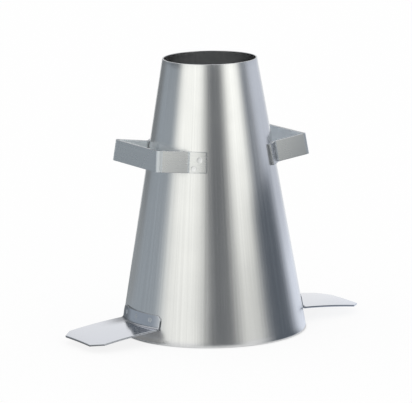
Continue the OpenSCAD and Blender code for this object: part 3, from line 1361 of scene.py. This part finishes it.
@dataclass(frozen=True)
class StudioCard:
    """A curved card with soft edges that stands round the object and shows only in its reflections.

    Attributes:
        name: Name of the card.
        radius: Distance from the mould's axis.
        start: Bearing of its left edge from the camera, in degrees, to the right as the camera sees it.
        end: Bearing of its right edge.
        top: Height of its upper edge.
        shades: Brightness at the foot of the ramp and at its head, where 1 is white.
        ramp: Heights between which the brightness changes.
        tint: Colour of the card.
        fades: Bearings over which the left and the right edge fade, in degrees.
        top_fade: Height over which the upper edge fades.
        apron: Distance that the card runs inwards along the floor.
        apron_turn: Change of the left and the right edge's bearing on that run, in degrees.
        lift: Height of that run above the floor.
        steps: Number of steps round the card.
        rows: Number of rows up the card.
    """

    name: str
    radius: float
    start: float
    end: float
    top: float
    shades: tuple[float, float]
    ramp: tuple[float, float] = (0.0, 0.4)
    tint: Colour = (1.0, 1.0, 1.0)
    fades: tuple[float, float] = (26.0, 26.0)
    top_fade: float = 0.1
    apron: float = 0.0
    apron_turn: tuple[float, float] = (0.0, 0.0)
    lift: float = 1 * MM
    steps: int = 48
    rows: int = 24

    def build(self, camera_bearing: float) -> None:
        """Makes the card: an upright sheet bent about Z, with its cover and brightness at each point.

        Args:
            camera_bearing: Bearing of the camera, in degrees.
        """
        left, right = self.fades
        columns = self.steps + 1
        bearing = np.linspace(self.start - left / 2, self.end + right / 2, columns)[None, :]
        height = np.linspace(self.lift, self.top + self.top_fade / 2, self.rows)[:, None]
        height = np.concatenate([height[:1], height])
        rho = np.full_like(height, self.radius)
        rho[0] -= self.apron
        turn = np.radians(camera_bearing + bearing) + np.zeros_like(height)
        turn[0] += np.radians(np.linspace(*self.apron_turn, columns))
        points = np.stack(np.broadcast_arrays(rho * np.sin(turn), -rho * np.cos(turn), height), -1)
        sides = self._ease((bearing - self.start) / left) * self._ease((self.end - bearing) / right)
        cover = sides * self._ease((self.top - height) / self.top_fade)
        foot, head = self.ramp
        share = self._ease((height - (foot + head) / 2) / (head - foot))
        low, high = self.shades
        glow = np.broadcast_to(low + (high - low) * share, cover.shape)

        first = np.arange(self.rows)[:, None] * columns + np.arange(self.steps)[None, :]
        faces = np.stack([first, first + 1, first + columns + 1, first + columns], -1).reshape(-1, 4)
        mesh = new_mesh(self.name, points, faces.tolist())
        write_floats(mesh, "cover", cover)
        write_floats(mesh, "glow", glow)
        mesh.materials.append(self._material())
        card = new_object(self.name, mesh)
        for sight in ("camera", "diffuse", "transmission", "shadow"):
            setattr(card, f"visible_{sight}", False)

    def _ease(self, place: np.ndarray) -> np.ndarray:
        """Rises smoothly from 0 to 1 while the place goes from -0.5 to 0.5."""
        share = np.clip(place + 0.5, 0, 1)
        return share * share * (3 - 2 * share)

    def _material(self) -> bpy.types.Material:
        """Makes the card's glow, which lets through what lies behind it where its cover fades.

        Returns:
            The new material.
        """
        graph = NodeGraph(self.name)
        clear = graph.add("BsdfTransparent").outputs["BSDF"]
        light = graph.add("Emission", {"Color": self.tint, "Strength": graph.attribute("glow")})
        material = graph.cover(clear, light.outputs["Emission"], graph.attribute("cover"))
        material.cycles.emission_sampling = "NONE"
        return material


@dataclass(frozen=True)
class Studio:
    """A white room with a pale floor, and cards that shape the reflections in the steel.

    Attributes:
        floor_size: Width of the floor.
        floor_colour: Colour of the floor.
        floor_white: Share of plain white in the floor as the camera and the steel see it.
        white_near: The same share right at the mould and inside it.
        white_from: Distances from the mould's axis between which the white sets in, for each kind of ray.
        light: Brightness of the room.
        cards: The cards round the object.
    """

    floor_size: float = 60.0
    floor_colour: Colour = (0.96, 0.96, 0.96)
    floor_white: float = 0.85
    white_near: float = 0.09
    white_from: tuple[tuple[Ray, float, float], ...] = (
        (Ray.CAMERA, 0.099, 0.104), (Ray.GLOSSY, 0.15, 0.45), (Ray.TRANSMISSION, 0.15, 0.45))
    light: float = 1.0
    cards: tuple[StudioCard, ...] = (
        StudioCard("flag_left_back", 0.98, -158, -126, 0.42, (0.34, 0.24), (0.0, 0.12), (0.94, 1.0, 1.04),
                   fades=(9, 20), apron=0.87, lift=1.2 * MM),
        StudioCard("flag_left", 1.0, -159, -69, 0.64, (0.40, 0.15), (0.36, 0.48), (0.90, 1.0, 1.09),
                   fades=(9, 24), apron=0.897, apron_turn=(0, 35)),
        StudioCard("shade_left", 0.19, -112, -44, 3 * MM, (0.28, 0.28), fades=(12, 12), top_fade=1 * MM,
                   apron=0.087, apron_turn=(20, 8), lift=1.4 * MM),
        StudioCard("flag_right_low", 0.34, 61, 108.5, 0.18, (0.15, 0.16), tint=(0.82, 0.94, 1.11),
                   fades=(28, 28), top_fade=0.02, apron=0.237, apron_turn=(-23, -42), lift=1.2 * MM),
        StudioCard("flag_right_high", 0.36, 65, 91, 0.45, (0.28, 0.28), tint=(0.90, 0.98, 1.10),
                   fades=(24, 24)),
        StudioCard("pale_card_right", 0.38, 86, 150, 0.45, (0.93, 0.70), (0.02, 0.12), (0.93, 0.98, 1.09),
                   fades=(24, 24), apron=0.277, apron_turn=(-35, -50)),
        StudioCard("grey_floor_right", 1.25, 42, 88, 0.02, (0.35, 0.35), tint=(0.95, 0.98, 1.05),
                   fades=(20, 20), top_fade=0.02, apron=0.65),
        StudioCard("dark_card_front", 1.2, -12.5, 30.5, 1.0, (0.19, 0.19), tint=(0.96, 1.0, 1.04),
                   apron=1.08, apron_turn=(6, -15)),
        StudioCard("softbox_left", 1.3, -85, 8, 1.5, (1.08, 1.30), (0.12, 0.46), (1.0, 1.0, 0.95)),
        StudioCard("softbox_right", 1.3, 8, 85, 1.5, (0.76, 1.42), (0.10, 0.42), (1.0, 1.0, 0.95)),
    )

    def build(self, camera_bearing: float) -> None:
        """Makes the floor, the white world that lights everything softly, and the cards.

        Args:
            camera_bearing: Bearing of the camera, in degrees.
        """
        square = np.array([(-1, -1, 0), (1, -1, 0), (1, 1, 0), (-1, 1, 0)])
        corners = square * self.floor_size / 2
        mesh = new_mesh("floor", corners, [[0, 1, 2, 3]])
        mesh.materials.append(self._floor_material())
        new_object("floor", mesh)

        world = bpy.data.worlds.new("white_room")
        world.use_nodes = True
        background = world.node_tree.nodes["Background"]
        background.inputs["Color"].default_value = (1.0, 1.0, 1.0, 1.0)
        background.inputs["Strength"].default_value = self.light
        bpy.context.scene.world = world
        for card in self.cards:
            card.build(camera_bearing)

    def _floor_material(self) -> bpy.types.Material:
        """Makes the floor's pale matt, mixed with plain white where the camera or a reflection sees it.

        The camera sees the white from the base rim outwards. Reflections see it only away from the object,
        so that the steel still mirrors the object's own shade.

        Returns:
            The new material.
        """
        graph = NodeGraph("pale_floor")
        place = graph.add("TexCoord").outputs["Object"]
        distance = graph.add("VectorMath", {0: place}, operation="LENGTH").outputs["Value"]
        path = graph.add("LightPath")
        share = 0.0
        for ray, near, far in self.white_from:
            white = graph.add("MapRange", {
                "Value": distance, "From Min": near, "From Max": far,
                "To Min": self.white_near, "To Max": self.floor_white,
            }, interpolation_type="SMOOTHSTEP")
            share = graph.combine("MULTIPLY_ADD", path.outputs[ray.value], white.outputs["Result"], share)
        matt = graph.add("BsdfDiffuse", {"Color": self.floor_colour})
        return graph.cover(matt.outputs["BSDF"], graph.add("Emission").outputs["Emission"], share)


# Strength of the painted shade in a corner of the tread of each foot
PAINTED_ROOT_SHADE = {Side.RIGHT: 0.0, Side.LEFT: 0.9}


def build_object(maker: PieceMaker) -> None:
    """Builds every piece of the slump cone.

    Args:
        maker: Makes the pieces and ties them to the frame.
    """
    low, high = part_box("cone_shell")
    wall = Wall(height=high.z - low.z)
    ConeShell(wall).build(maker)
    for side in Side:
        Handle(wall, side).build(maker)
        Foot(wall, side, reach=cad_high.x, painted_root_shade=PAINTED_ROOT_SHADE[side]).build(maker)


def main() -> None:
    """Builds the camera, the studio and the slump cone."""
    logging.basicConfig(level=logging.INFO, format="%(message)s")
    camera = PhotoCamera()
    camera.build()
    Studio().build(camera.bearing)
    build_object(PieceMaker())
    bpy.context.scene.view_settings.view_transform = "Standard"


if __name__ == "__main__":
    main()
